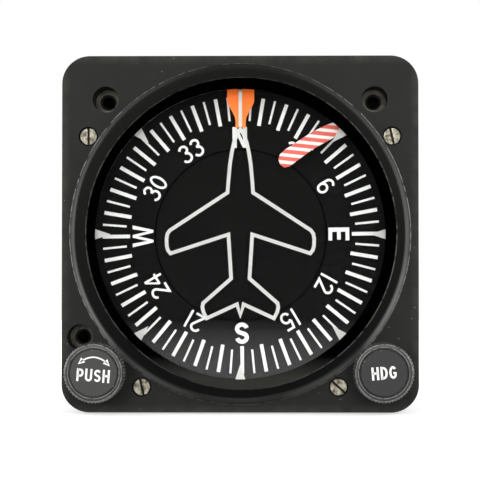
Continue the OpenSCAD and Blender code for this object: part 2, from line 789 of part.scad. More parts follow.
module letter(c) {
    b = bold_w;
    t = 0.9 * bold_w;
    if (c == "N") polygon([[0, 0], [0, 1], [b, 1], [0.7 - b, 0.36], [0.7 - b, 1], [0.7, 1], [0.7, 0],
        [0.7 - b, 0], [b, 0.64], [b, 0]]);
    if (c == "E") polygon([[0, 0], [0, 1], [0.62, 1], [0.62, 1 - t], [b, 1 - t], [b, 0.5 + t / 2],
        [0.58, 0.5 + t / 2], [0.58, 0.5 - t / 2], [b, 0.5 - t / 2], [b, t], [0.62, t], [0.62, 0]]);
    if (c == "S") polygon(ribbon(concat(
        arc([0.33, 0.71], 0.23, 0.2, 10, 235, 12),
        arc([0.33, 0.29], 0.23, 0.2, 55, -170, 12)), b));
    if (c == "W") intersection() {
        square([1.07, 1]);
        polygon(ribbon([[0.06, 1.2], [0.3, 0], [0.535, 1], [0.77, 0], [1.01, 1.2]], 0.95 * b));
    }
}

// The dial's numbers: each one's heading and digits, and each digit's place across as a share of number_h
numbers = [
    [30, [[3, 0.06]]], [60, [[6, 0.06]]], [120, [[1, -0.305], [2, 0.22]]], [150, [[1, -0.295], [5, 0.215]]],
    [210, [[2, -0.28], [1, 0.245]]], [240, [[2, -0.385], [4, 0.28]]], [300, [[3, -0.385], [0, 0.3]]],
    [330, [[3, -0.335], [3, 0.36]]]];
letters = [["N", 0, 0.7], ["E", 90, 0.62], ["S", 180, 0.66], ["W", 270, 1.07]];

module card_markings() {
    color("white")
    slab(card_y - print_t, card_y) rotate(card_offset) {
        for (i = [0 : 71])
            let (
                long = i % 2 == 0,
                inner = long ? long_tick_r : short_tick_r,
                w = long ? long_tick_w : short_tick_w)
            rotate(5 * i) translate([-w / 2, inner]) square([w, tick_outer_r - inner]);
        for (n = numbers, d = n[1])
            rotate(-n[0]) translate([d[1] * number_h, number_r - number_h / 2])
                scale(number_h) digit(d[0]);
        for (c = letters)
            rotate(-c[1]) translate([-c[2] * letter_h / 2, number_r - letter_h / 2])
                scale(letter_h) letter(c[0]);
    }
}

module compass_card() {
    color([0.09, 0.09, 0.085]) tube(card_y, card_y + card_t, card_r, centre_disc_r + 0.15);
}

module card_centre_disc() {
    color([0.08, 0.08, 0.08]) bar(card_y + 0.1, card_y + card_t, centre_disc_r);
}

module card_shaft() {
    back = card_y + card_t;
    color("silver") {
        bar(back, back + hub_t, hub_r);
        bar(back + hub_t, front_plate_y - 0.6, 5);
        bar(back + hub_t, layshaft_y - bevel_r + 2.2, card_shaft_r);
    }
}

module setting_gear() {
    color([0.75, 0.6, 0.3])
    difference() {
        union() {
            slab(setting_gear_y, setting_gear_y + gear_t)
                polygon(gear_outline(setting_teeth, setting_pitch_r, push_angle + 180 / setting_teeth));
            bar(setting_gear_y, mid_plate_y - 0.8, 4);
        }
        bar(setting_gear_y - 1, mid_plate_y, card_shaft_r + 0.01);
        for (a = [0 : 60 : 300]) bar(setting_gear_y - 1, setting_gear_y + gear_t + 1, 7,
            (setting_pitch_r - 11.9) * [cos(a), sin(a)]);
    }
}

module setting_idler() {
    color([0.75, 0.6, 0.3])
    difference() {
        slab(setting_gear_y, setting_gear_y + gear_t) translate(idler_at)
            polygon(gear_outline(idler_teeth, idler_pitch_r, push_angle));
        bar(setting_gear_y - 1, setting_gear_y + gear_t + 1, 1 + run_gap, idler_at);
    }
}

// A bevel gear standing on its large end, with its teeth rising to the top and a hub below.
module bevel_gear(gap_at, hub_len) {
    difference() {
        union() {
            linear_extrude(bevel_face, scale = (bevel_r - bevel_face) / bevel_r)
                polygon([for (i = [0 : bevel_teeth - 1])
                    let (mid = gap_at + (i + 0.5) * 360 / bevel_teeth)
                    for (c = [[-0.45, -0.25], [0.3, -0.1], [0.3, 0.1], [-0.45, 0.25]])
                    let (a = mid + c[1] * 360 / bevel_teeth)
                    (bevel_r + c[0]) * [cos(a), sin(a)]]);
            translate([0, 0, -hub_len]) cylinder(h = hub_len, r = 3.6);
        }
        translate([0, 0, -hub_len - 1]) cylinder(h = hub_len + bevel_face + 2, r = layshaft_r + 0.01);
    }
}

module card_bevel_gear() {
    color([0.75, 0.6, 0.3])
    difference() {
        translate([0, layshaft_y - bevel_r, 0]) rotate([-90, 0, 0]) bevel_gear(-90, 3);
        bar(layshaft_y - bevel_r - 4, layshaft_y, card_shaft_r + 0.01);
    }
}

module layshaft() {
    half = rail_z + rail_t - 0.3;
    color("silver") translate([0, layshaft_y, -half]) cylinder(h = 2 * half, r = layshaft_r);
}

module layshaft_gears() {
    color([0.75, 0.6, 0.3])
    translate([0, layshaft_y, 0]) {
        difference() {
            translate([0, 0, -link_gear_z - gear_t])
                linear_extrude(gear_t) polygon(gear_outline(link_teeth, link_gear_r, 90));
            cylinder(h = 3 * rail_z, r = layshaft_r + 0.01, center = true);
            for (a = [0 : 60 : 300]) rotate(a)
                translate([link_gear_r - 8, 0, -rail_z]) cylinder(h = 5, r = 4);
        }
        translate([0, 0, bevel_r]) mirror([0, 0, 1]) bevel_gear(-90 + 180 / bevel_teeth, 3);
    }
}

module outer_gimbal() {
    color([0.66, 0.66, 0.68])
    translate([0, gyro_y, 0])
    difference() {
        union() {
            tube(-gimbal_ring_t / 2, gimbal_ring_t / 2, gimbal_ring_r, gimbal_ring_in_r);
            for (up = [0, 180]) rotate([0, up, 0]) {
                translate([0, 0, gimbal_ring_r - 1.5]) cylinder(h = cam_z - gimbal_ring_r + 1.5, r = 3);
                translate([0, 0, gimbal_ring_r - 1])
                    cylinder(h = rail_z + rail_t - gimbal_ring_r + 0.7, r = gimbal_shaft_r);
            }
        }
        rotate([0, 90, 0]) cylinder(h = 3 * gimbal_ring_r, r = gimbal_shaft_r + run_gap, center = true);
    }
}

module gimbal_gear_and_cam() {
    color([0.75, 0.6, 0.3])
    translate([0, gyro_y, 0]) {
        difference() {
            translate([0, 0, -link_gear_z - gear_t])
                linear_extrude(gear_t) polygon(gear_outline(link_teeth, link_gear_r, -90 + 180 / link_teeth));
            cylinder(h = 3 * rail_z, r = gimbal_shaft_r + 0.01, center = true);
        }
        difference() {
            translate([0, 0, -cam_z - cam_t]) linear_extrude(cam_t)
                polygon([for (a = [-180 : 10 : 170]) (5 + 4 * abs(a) / 180) * [cos(a + 90), sin(a + 90)]]);
            cylinder(h = 3 * rail_z, r = gimbal_shaft_r + 0.01, center = true);
        }
    }
}

module slip_rings() {
    color([0.85, 0.65, 0.3])
    translate([0, gyro_y, 0])
    for (z = brush_z) translate([0, 0, z - 0.45]) difference() {
        cylinder(h = 0.9, r = slip_ring_r);
        translate([0, 0, -1]) cylinder(h = 3, r = gimbal_shaft_r + 0.01);
    }
}

split_y = 4;
case_flange_r = rotor_case_r + 2;
case_flange_t = 1.5;

// One end of the rotor case, from its end wall at depth -rotor_case_half to its open edge at depth open_y.
module case_half(open_y) {
    h = rotor_case_half;
    in_r = rotor_case_r - case_wall;
    turned([[0, -h], [rotor_case_r - 1, -h], [rotor_case_r, -h + 1], [rotor_case_r, open_y - case_flange_t],
        [case_flange_r, open_y - case_flange_t], [case_flange_r, open_y], [in_r, open_y],
        [in_r, -h + 1.6], [5.4, -h + 1.6], [5.4, -h + 4.4], [2.2, -h + 4.4], [2.2, -h + 3.6],
        [rotor_bearing_r, -h + 3.6], [rotor_bearing_r, -h + 0.8], [0, -h + 0.8]]);
}

case_screw_at = [for (a = [45 : 90 : 315]) (rotor_case_r + 1.1) * [cos(a), sin(a)]];

module rotor_case_front() {
    color([0.7, 0.7, 0.72])
    translate([0, gyro_y, 0])
    difference() {
        union() {
            case_half(split_y);
            for (s = [0, 180]) rotate([0, 90 + s, 0])
                translate([0, 0, rotor_case_r - 0.8]) cylinder(h = 2.6, r = 3);
        }
        for (s = case_screw_at) bar(0, split_y + 1, 0.55, s);
        for (s = [0, 180]) rotate([0, 90 + s, 0])
            translate([0, 0, rotor_case_r - 2]) cylinder(h = 5, r = gimbal_shaft_r);
    }
}

module rotor_case_rear() {
    color([0.7, 0.7, 0.72])
    translate([0, gyro_y, 0])
    difference() {
        mirror([0, 1, 0]) case_half(-split_y);
        for (s = case_screw_at) bar(0, split_y + 3, 0.65, s);
    }
}

module case_pivots_and_screws() {
    color("silver")
    translate([0, gyro_y, 0]) {
        for (s = [0, 180]) rotate([0, 90 + s, 0]) translate([0, 0, rotor_case_r - 1.2])
            cylinder(h = gimbal_ring_r - rotor_case_r + 0.9, r = gimbal_shaft_r);
        for (s = case_screw_at) mirror([0, 1, 0])
            slotted_screw(-split_y - case_flange_t - 0.9, 0.9, 0.9, 0.55, -split_y + 1.2, s, 30);
    }
}

module stator() {
    color([0.6, 0.35, 0.2])
    translate([0, gyro_y, 0]) {
        tube(-rotor_case_half + 4.4, split_y - 1, stator_r - 0.5, 2.2);
        tube(-rotor_case_half + 5.6, split_y - 2.2, stator_r, stator_r - 0.5);
    }
}

module rotor() {
    color([0.6, 0.58, 0.5])
    translate([0, gyro_y, 0]) {
        turned([[rotor_shaft_r + 0.01, split_y], [rotor_in_r, split_y], [rotor_in_r, -rotor_half],
            [rotor_r, -rotor_half], [rotor_r, rotor_half], [3.2, rotor_half], [3.2, rotor_half + 1.4],
            [rotor_shaft_r + 0.01, rotor_half + 1.4]]);
        bar(-rotor_case_half + 1, rotor_case_half - 1, rotor_shaft_r);
    }
}

module rotor_bearings() {
    color("silver")
    translate([0, gyro_y, 0])
    for (s = [0, 1]) mirror([0, s, 0])
        tube(-rotor_case_half + 1.2, -rotor_case_half + 3.6, rotor_bearing_r - 0.02, rotor_shaft_r + run_gap);
}

module caging_slide() {
    color([0.72, 0.72, 0.7]) {
        difference() {
            slab(slide_y, slide_y + slide_t) {
                translate(push_at) circle(3);
                translate(slide_rod_at) circle(1.8);
                polygon(ribbon([push_at, slide_rod_at], 3.4));
            }
            bar(slide_y - 1, slide_y + slide_t + 1, knob_shaft_r + run_gap, push_at);
        }
        bar(slide_y + slide_t - 0.2, arm_pivot[1] - 2, 1.1, slide_rod_at);
    }
}

module caging_arm() {
    turn = [[cos(arm_swing), -sin(arm_swing)], [sin(arm_swing), cos(arm_swing)]];
    roller = turn * arm_closed;
    color([0.7, 0.68, 0.6])
    translate([arm_pivot[0], arm_pivot[1], -cam_z - 0.1]) mirror([0, 0, 1]) {
        difference() {
            linear_extrude(0.7) {
                circle(2.4);
                translate(roller) circle(1.4);
                polygon(ribbon([[0, 0], roller], 2.6));
                translate([-tail_len - 1.3, -1.5]) square([tail_len + 1.3, 3]);
            }
            translate([0, 0, -1]) cylinder(h = 3, r = 1 + run_gap);
        }
        translate([roller[0], roller[1], 0.7]) cylinder(h = 0.75, r = roller_r);
    }
}

// One side of the bug, as half width and distance in from the window's edge
bug_side = [[3.2, 2.2], [3, 2.9], [2.65, 3.6], [1.8, 5.1], [1.35, 6.1], [1.2, 7], [1.2, 8.5]];

module heading_bug() {
    foot_in = sleeve_r + 1.1;
    color([1, 0.45, 0.15]) {
        slab(bug_plate_y, bug_plate_y + bug_plate_t) {
            polygon(concat(
                [for (p = bug_side) [-p[0], window_r - p[1]]],
                [for (i = [len(bug_side) - 1 : -1 : 0]) [bug_side[i][0], window_r - bug_side[i][1]]]));
            translate([-3.2, window_r - 2.3]) square([6.4, bug_foot_r - window_r + 2.3]);
        }
        slab(bug_plate_y + bug_plate_t, bug_gear_y)
            translate([-3, foot_in]) square([6, bug_foot_r - foot_in - 0.2]);
    }
}

module bug_ring_gear() {
    color([0.75, 0.6, 0.3])
    difference() {
        slab(bug_gear_y, bug_gear_y + gear_t)
            polygon(gear_outline(ring_teeth, ring_pitch_r, heading_angle));
        bar(bug_gear_y - 1, bug_gear_y + gear_t + 1, sleeve_r + run_gap);
    }
}

module bug_snap_ring() {
    color("silver")
    difference() {
        tube(bug_gear_y - 0.6, bug_gear_y - 0.2, sleeve_r + 0.8, sleeve_r);
        slab(bug_gear_y - 1, bug_gear_y) rotate(160) translate([sleeve_r - 2, -2]) square([4, 4]);
    }
}

// A knob with its rear face at depth y and its axis at the point given.
module knob(y, at) {
    f = y - knob_len;
    color([0.08, 0.08, 0.08]) {
        difference() {
            turned([[0, f], [knob_r - 0.45, f], [knob_r - 0.15, f + 0.25], [knob_r, f + 0.6],
                [knob_r, y - knob_taper], [knob_r - 0.6, y], [0, y]], at);
            bar(f - 1, f + cap_t + 0.4, cap_r + cap_gap, at);
            bar(f + cap_t + 1.6, y + 1, knob_shaft_r, at);
            bar(y - knob_well, y + 1, knob_well_r, at);
            translate([at[0], f + knob_len * 0.4, at[1]]) rotate([0, 90, 0])
                cylinder(h = knob_r + 1, r = 0.7);
        }
        translate([at[0], f + knob_len * 0.4, at[1]]) rotate([0, 90, 0])
            translate([0, 0, knob_shaft_r]) cylinder(h = knob_r - knob_shaft_r - 0.8, r = 0.68);
    }
}

module knob_cap(y, at) {
    f = y - knob_len;
    color([0.28, 0.28, 0.27]) turned([[0, f + 0.1], [cap_r - 0.3, f + 0.1], [cap_r, f + 0.35],
        [cap_r, f + cap_t + 0.4], [0, f + cap_t + 0.4]], at);
}

module heading_knob() { knob(-heading_knob_gap, heading_at); }
module heading_knob_cap() { knob_cap(-heading_knob_gap, heading_at); }
module push_knob() { knob(-push_knob_gap, push_at); }
module push_knob_cap() { knob_cap(-push_knob_gap, push_at); }

module heading_shaft() {
    color("silver") {
        bar(-heading_knob_gap - knob_len + cap_t + 1.7, bug_gear_y + gear_t + 0.3, knob_shaft_r, heading_at);
        difference() {
            slab(bug_gear_y, bug_gear_y + gear_t) translate(heading_at)
                polygon(gear_outline(pinion_teeth, pinion_pitch_r, heading_angle + 180 + 180 / pinion_teeth));
            bar(bug_gear_y - 1, bug_gear_y + gear_t + 1, knob_shaft_r + 0.01, heading_at);
        }
    }
}

module push_shaft() {
    color("silver") {
        bar(-push_knob_gap - knob_len + cap_t + 1.7, push_shaft_end, knob_shaft_r, push_at);
        difference() {
            union() {
                slab(push_pinion_y, push_pinion_y + push_pinion_t) translate(push_at)
                    polygon(gear_outline(set_pinion_teeth, set_pinion_pitch_r,
                        push_angle + 180 + 180 / set_pinion_teeth));
                bar(push_pinion_y + push_pinion_t, slide_y - 0.1, 2.6, push_at);
            }
            bar(push_pinion_y - 1, slide_y + 1, knob_shaft_r + 0.01, push_at);
        }
        tube(slide_y + slide_t + 0.1, slide_y + slide_t + 0.6, collar_r, knob_shaft_r + 0.01, push_at);
    }
}

// The return spring of the push knob, one unbroken tube from its first ring to its last.
spring_r = 2.5;
spring_wire_r = 0.28;
spring_curls = 6;
spring_rings = 8;
spring_sides = 6;
spring_from = 1 - push_knob_gap - knob_well + spring_wire_r - 0.9;
spring_to = 0.6 - spring_wire_r - 0.05;
spring_steps = spring_curls * spring_rings;
spring_points = [
    for (i = [0 : spring_steps])
    let (a = 360 * i / spring_rings, y = spring_from + (spring_to - spring_from) * i / spring_steps)
    for (k = [0 : spring_sides - 1])
    let (b = 360 * k / spring_sides, r = spring_r + spring_wire_r * cos(b))
    [push_at[0] + r * cos(a), y + spring_wire_r * sin(b), push_at[1] + r * sin(a)]];
spring_faces = concat(
    [[for (k = [0 : spring_sides - 1]) k]],
    [[for (k = [spring_sides - 1 : -1 : 0]) spring_steps * spring_sides + k]],
    [for (i = [0 : spring_steps - 1]) for (k = [0 : spring_sides - 1])
        let (a = i * spring_sides + k, b = i * spring_sides + (k + 1) % spring_sides)
        each [[a, a + spring_sides, b + spring_sides], [a, b + spring_sides, b]]]);
echo(spring_gap = (spring_to - spring_from) / spring_curls - 2 * spring_wire_r);

module push_spring() {
    color("silver") polyhedron(spring_points, spring_faces);
}

// The flag's outline about its pivot, from its hub end round by the tip
flag_outline = [
    [-0.8, 1], [-3.2, -2.7], [-5.3, -3.4], [-8.5, -5], [-14.8, -9.1], [-16.1, -10.3], [-16.45, -11.5],
    [-16, -12.7], [-15, -13.4], [-13.8, -13.1], [-8.4, -9.1], [-3.1, -6.2], [-2.2, -4.8], [1.2, -0.8]];

module warning_flag() {
    color([0.95, 0.4, 0.35])
    difference() {
        union() {
            slab(flag_y, flag_y + flag_t) translate(flag_pivot_at) {
                polygon(flag_outline);
                circle(1.6);
                rotate(39) translate([0, -0.5]) square([3.5, 1]);
            }
            bar(flag_y, flag_hub_end_y, 1.5, flag_pivot_at);
        }
        bar(flag_y - 1, flag_y + 3, flag_pivot_r + run_gap, flag_pivot_at);
    }
}

bezel();
bezel_screws();
window_gasket();
window_glass();
glass_markings();
glass_retaining_ring();
front_housing();
threaded_inserts();
dial_sleeve();
front_plate();
mid_plate();
plate_posts();
frame_screws();
frame_rails();
rear_plate();
shaft_bushings();
gimbal_bearings();
brush_block();
pivot_pins();
flag_coil();
rear_can();
case_screws();
inverter_board();
board_posts();
board_parts();
rear_cover();
connector_shell();
connector_insulator();
connector_pins();
compass_card();
card_markings();
card_centre_disc();
card_shaft();
setting_gear();
card_bevel_gear();
setting_idler();
layshaft();
layshaft_gears();
outer_gimbal();
gimbal_gear_and_cam();
slip_rings();
rotor_case_front();
rotor_case_rear();
case_pivots_and_screws();
stator();
rotor_bearings();
rotor();
heading_bug();
bug_ring_gear();
bug_snap_ring();
heading_knob();
heading_knob_cap();
heading_shaft();
push_knob();
push_knob_cap();
push_shaft();
push_spring();
caging_slide();
caging_arm();
warning_flag();
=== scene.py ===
"""Directional gyro indicator: surface finishes, knurls, legends, floor, lights and camera."""
import json
import math

import bpy
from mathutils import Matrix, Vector

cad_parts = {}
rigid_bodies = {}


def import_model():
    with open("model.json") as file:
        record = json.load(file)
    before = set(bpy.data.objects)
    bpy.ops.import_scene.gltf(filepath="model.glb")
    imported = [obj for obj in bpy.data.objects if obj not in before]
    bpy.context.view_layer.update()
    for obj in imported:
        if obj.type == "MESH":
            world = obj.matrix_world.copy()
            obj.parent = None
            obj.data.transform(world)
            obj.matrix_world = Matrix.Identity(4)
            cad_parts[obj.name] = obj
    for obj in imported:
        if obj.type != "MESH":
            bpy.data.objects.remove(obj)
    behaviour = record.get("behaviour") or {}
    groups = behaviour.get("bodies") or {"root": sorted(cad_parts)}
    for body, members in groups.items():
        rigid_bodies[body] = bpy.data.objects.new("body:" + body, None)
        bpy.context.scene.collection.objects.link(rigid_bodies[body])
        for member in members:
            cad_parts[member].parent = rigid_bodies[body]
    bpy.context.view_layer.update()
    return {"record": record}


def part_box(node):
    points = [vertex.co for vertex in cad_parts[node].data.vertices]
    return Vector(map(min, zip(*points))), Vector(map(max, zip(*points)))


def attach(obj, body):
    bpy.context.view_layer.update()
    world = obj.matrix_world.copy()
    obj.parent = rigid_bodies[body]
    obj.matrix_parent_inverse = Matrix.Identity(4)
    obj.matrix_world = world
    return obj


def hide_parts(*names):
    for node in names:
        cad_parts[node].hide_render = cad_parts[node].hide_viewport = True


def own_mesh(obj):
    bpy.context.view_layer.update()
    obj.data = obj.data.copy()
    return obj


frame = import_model()
MM = 0.001

# Camera: the place and aim that give the photograph's view of the flange
CAMERA_AT = (0.0105, -0.520, -0.0173)
AIM_AT = (0.0, 0.0, -0.00147)
FOCAL_PX = 2230.0
FRAME_PX = 480.0
SENSOR_MM = 36.0
FLOOR_Z = -0.0419
FLOOR_REACH = 4.0

# The white tent's strength on matt surfaces, and the room's in the mirror images on glossy ones
TENT_LIGHT = 0.56
ROOM_SEEN_IN_GLOSS = 0.03

# Lamps: name, place, width and height in metres, and power in watts
LAMPS = (
    ("left_box", (-1.05, -1.0, 0.15), (0.6, 0.9), 8.0),
    ("right_box", (1.05, -1.0, 0.15), (0.6, 0.9), 8.0),
    ("top_box", (0.0, -1.2, 0.62), (1.0, 0.4), 4.5),
    ("left_strip", (-0.21, -1.15, 0.12), (0.1, 0.3), 1.7),
    ("right_strip", (0.19, -1.15, 0.12), (0.1, 0.3), 1.7),
    ("left_back_box", (-1.0, 0.6, 0.35), (0.9, 0.8), 8.0),
    ("right_back_box", (1.0, 0.6, 0.35), (0.9, 0.8), 8.0),
)

# How bright the floor looks in a mirror image, by its place between the object and the floor's front edge
MIRRORED_FLOOR = ((0.0, 0.82), (0.1, 0.78), (0.28, 0.46), (0.55, 0.17), (1.0, 0.04))

# Radii of the bezel's ring that the paint follows, in metres
LIP_R = 0.0361
CREST_R = 0.0383
FOOT_R = 0.0398

# Where the casting's tones change, from and to: its edges' wear, how deep that goes, and the ring's sides,
# towards which the ring's painted light grows
RIM_WEAR = (0.0395, 0.0416)
RIM_WEAR_DEPTH = (0.003, 0.0006)
RING_LIT_SIDES = (0.009, 0.037)

# The flag's stripes: the width of a red and a white one, where the lowest red one starts, and their tilt
STRIPE_PAIR = 0.0017
LOWEST_STRIPE_Z = 0.01669
STRIPE_TILT = math.radians(6)

# Depths that the finishes follow, in metres: the floor of the screws' slots and the inserts' faces
SLOT_Y = 0.0011
INSERT_FACE_Y = 0.0085

# The knobs, one on each side: how far out and down they sit, their radius and their recess's
KNOB_LOW, KNOB_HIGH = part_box("heading_knob")
KNOB_OUT = (KNOB_LOW[0] + KNOB_HIGH[0]) / 2
KNOB_DOWN = -(KNOB_LOW[2] + KNOB_HIGH[2]) / 2
KNOB_R = (KNOB_HIGH[0] - KNOB_LOW[0]) / 2
RECESS_R = 0.00575

# The card: its centre disc's radius, the front of the hub behind it and the gap round the disc, in metres
DISC_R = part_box("card_centre_disc")[1][0]
CARD_HUB_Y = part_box("card_shaft")[0][1]
JOINT_GAP = 0.00015


# Node helpers

class Nodes:
    """A material's node tree, with short calls for the nodes that the finishes use."""

    def __init__(self, name):
        self.material = bpy.data.materials.new(name)
        self.material.use_nodes = True
        self.tree = self.material.node_tree
        self.tree.nodes.clear()
        self.out = self.tree.nodes.new("ShaderNodeOutputMaterial")
        self.where = self.tree.nodes.new("ShaderNodeTexCoord").outputs["Object"]

    def add(self, kind, **settings):
        node = self.tree.nodes.new("ShaderNode" + kind)
        for key, value in settings.items():
            setattr(node, key, value)
        return node

    def link(self, source, target):
        self.tree.links.new(source, target)

    def put(self, socket, value):
        """Sets a socket from another node's output, a number or a colour of three numbers."""
        if isinstance(value, bpy.types.NodeSocket):
            self.link(value, socket)
        else:
            socket.default_value = (*value, 1.0) if isinstance(value, tuple) else value

    def math(self, kind, a, b=0.0):
        node = self.add("Math", operation=kind)
        self.put(node.inputs[0], a)
        self.put(node.inputs[1], b)
        return node.outputs[0]

    def times(self, a, b):
        return self.math("MULTIPLY", a, b)

    def plus(self, a, b):
        return self.math("ADD", a, b)

    def minus(self, a, b):
        return self.math("SUBTRACT", a, b)

    def larger(self, a, b):
        return self.math("MAXIMUM", a, b)

    def magnitude(self, a):
        return self.math("ABSOLUTE", a)

    def split(self):
        node = self.add("SeparateXYZ")
        self.put(node.inputs[0], self.where)
        return node.outputs

    def noise(self, scale, detail=3.0, rough=0.6, vector=None):
        node = self.add("TexNoise")
        self.put(node.inputs["Vector"], vector or self.where)
        node.inputs["Scale"].default_value = scale
        node.inputs["Detail"].default_value = detail
        node.inputs["Roughness"].default_value = rough
        return node.outputs[0]

    def cells(self, scale):
        node = self.add("TexVoronoi")
        self.put(node.inputs["Vector"], self.where)
        node.inputs["Scale"].default_value = scale
        return node.outputs[0]

    def stretched(self, x, y, z):
        node = self.add("Mapping")
        self.put(node.inputs["Vector"], self.where)
        node.inputs["Scale"].default_value = (x, y, z)
        return node.outputs[0]

    def ramp(self, value, *stops):
        node = self.add("ValToRGB")
        self.put(node.inputs[0], value)
        line = node.color_ramp
        while len(line.elements) < len(stops):
            line.elements.new(0.5)
        for element, (place, colour) in zip(line.elements, stops):
            element.position = place
            element.color = (*colour, 1.0)
        return node.outputs[0]

    def mask(self, value, low, high):
        node = self.add("MapRange", clamp=True)
        self.put(node.inputs[0], value)
        node.inputs[1].default_value = low
        node.inputs[2].default_value = high
        return node.outputs[0]

    def mix(self, share, a, b):
        node = self.add("Mix", data_type="RGBA")
        self.put(node.inputs[0], share)
        for socket, value in ((node.inputs[6], a), (node.inputs[7], b)):
            self.put(socket, value)
        return node.outputs[2]

    def bump(self, height, distance, strength):
        node = self.add("Bump")
        node.inputs["Strength"].default_value = strength
        node.inputs["Distance"].default_value = distance
        self.put(node.inputs["Height"], height)
        return node.outputs[0]

    def radius(self, at_x=0.0, at_z=0.0):
        """Distance from a line along Y, which is the dial's axis where no place is given."""
        x, _, z = self.split()
        x, z = self.minus(x, at_x), self.minus(z, at_z)
        return self.math("SQRT", self.plus(self.times(x, x), self.times(z, z)))

    def line(self, value, place, half):
        """1 where value is at place, falling to 0 at half away from it."""
        return self.mask(self.magnitude(self.minus(value, place)), half, half * 0.35)

    def radius_on_floor(self):
        x, y, _ = self.split()
        return self.math("SQRT", self.plus(self.times(x, x), self.times(y, y)))

    def surface(self, colour, rough, metal=0.0, normal=None, **more):
        node = self.shader = self.add("BsdfPrincipled")
        self.put(node.inputs["Base Color"], colour)
        self.put(node.inputs["Roughness"], rough)
        node.inputs["Metallic"].default_value = metal
        if normal:
            self.link(normal, node.inputs["Normal"])
        for key, value in more.items():
            node.inputs[key.replace("_", " ")].default_value = value
        self.link(node.outputs[0], self.out.inputs[0])
        return self.material


# Finishes

def casting_paint():
    """Satin black, with painted light and shade on the ring (a paler slope, a dark crest, a glint low inside
    it and bright lines at its foot and lip), flat black inside it, and worn edges and specks.
    """
    n = Nodes("casting_paint")
    fine = n.noise(5200, 2.0)
    broad = n.noise(90, 4.0)
    x, y, z = n.split()
    radius = n.radius()
    in_front = n.mask(y, -0.00003, -0.0001)

    # The flange: two blacks in broad patches, paler along its front edges, with specks of dust
    base = n.mix(n.mask(broad, 0.3, 0.7), (0.006, 0.0062, 0.0056), (0.0095, 0.0096, 0.0085))
    rim = n.mask(n.larger(n.magnitude(x), n.magnitude(z)), *RIM_WEAR)
    edge = n.times(rim, n.plus(n.times(n.mask(y, *RIM_WEAR_DEPTH), 0.85), 0.15))
    worn = n.mix(n.times(edge, n.mask(n.noise(300, 4.0), 0.25, 0.8)), base, (0.042, 0.04, 0.03))
    specks = n.times(n.mask(n.cells(520), 0.075, 0.03), n.mask(n.noise(90, 2.0), 0.5, 0.58))
    dusty = n.mix(n.times(specks, 0.75), worn, (0.3, 0.3, 0.27))

    # The ring, in painted light and shade: its outer slope is palest at the sides and low down, and its crest
    # is dark and darkest at the bottom
    side_light = n.mask(n.magnitude(x), *RING_LIT_SIDES)
    slope = n.times(n.line(radius, (CREST_R + FOOT_R) / 2, (FOOT_R - CREST_R) / 2), in_front)
    flank = n.mix(side_light, (0.03, 0.03, 0.028), (0.1, 0.1, 0.095))
    low_flank_light = n.mix(side_light, (0.054, 0.054, 0.051), (0.34, 0.34, 0.325))
    flank = n.mix(n.mask(z, -0.004, -0.028), flank, low_flank_light)
    flank = n.mix(slope, dusty, flank)
    crest = n.times(n.mask(radius, CREST_R, CREST_R - 0.0003), in_front)
    crest_shade = n.mix(n.mask(z, -0.033, 0.01), (0.001, 0.001, 0.0009), (0.0075, 0.0075, 0.007))
    ring = n.mix(crest, flank, crest_shade)

    # Inside the ring: flat black with a painted glint low down, and a lip line drawn further in on the left
    lip_r = n.minus(LIP_R + 0.0002, n.times(n.mask(x, 0.012, -0.024), 0.0006))
    inside = n.mask(n.minus(radius, lip_r), 0.0001, -0.0001)
    # Painted glint: the inside of the ring is paler low down
    low_glint = n.mix(n.mask(z, -0.0285, -0.0335), (0.0004, 0.0004, 0.0004), (0.036, 0.036, 0.032))
    dark = n.mix(inside, ring, low_glint)

    # Broken painted highlights along the ring's foot and lip, strongest at the sides
    foot = n.times(n.line(radius, FOOT_R, 0.00015), n.mask(y, 0.0003, 0.0001))
    lip = n.times(n.line(n.minus(radius, lip_r), 0.0001, 0.00016), 0.35)
    breaks = n.mask(n.noise(700, 3.0), 0.38, 0.55)
    share = n.plus(n.times(side_light, 0.75), 0.2)
    bright_edges = n.times(n.larger(foot, lip), n.times(share, breaks))
    colour = n.mix(bright_edges, dark, (0.26, 0.26, 0.24))

    n.surface(colour, n.plus(n.times(fine, 0.16), 0.34), normal=n.bump(fine, 0.00003, 0.2))
    dulled = n.times(n.larger(crest, slope), 0.75)
    shine = n.times(n.minus(1.0, dulled), n.minus(1.0, inside))
    n.link(n.times(shine, 0.15), n.shader.inputs["Specular IOR Level"])
    return n.material


def can_paint():
    """Black enamel, worn through to grey in a few places."""
    n = Nodes("can_paint")
    fine = n.noise(3800, 2.0)
    rub = n.mask(n.noise(60, 5.0, 0.7), 0.62, 0.74)
    colour = n.mix(rub, (0.02, 0.02, 0.02), (0.045, 0.044, 0.042))
    return n.surface(colour, n.mask(fine, -0.3, 1.6), normal=n.bump(fine, 0.00005, 0.5))


def metal(name, colour, rough, grain=2500, dark=0.55, along=(1, 1, 1)):
    """Machined metal with a fine grain, stained in patches."""
    n = Nodes(name)
    lines = n.noise(grain, 3.0, 0.6, n.stretched(*along))
    stain = n.mask(n.noise(350, 4.0), 0.35, 0.7)
    dull = tuple(c * dark for c in colour)
    tint = n.mix(stain, dull, colour)
    return n.surface(tint, n.plus(n.times(lines, 0.25), rough - 0.1), 1.0, n.bump(lines, 0.00003, 0.35))


def plain(name, colour, rough, grain=3000, depth=0.00003, spread=0.25, metal_share=0.0, **more):
    """A moulded or painted surface with a fine grain and slight changes of tone."""
    n = Nodes(name)
    fine = n.noise(grain, 2.0)
    broad = n.noise(220, 3.0)
    low = tuple(c * (1 - spread) for c in colour)
    high = tuple(min(1.0, c * (1 + spread)) for c in colour)
    return n.surface(n.mix(broad, low, high), n.plus(n.times(fine, 0.2), rough - 0.1), metal_share,
                     n.bump(fine, depth, 0.4), **more)


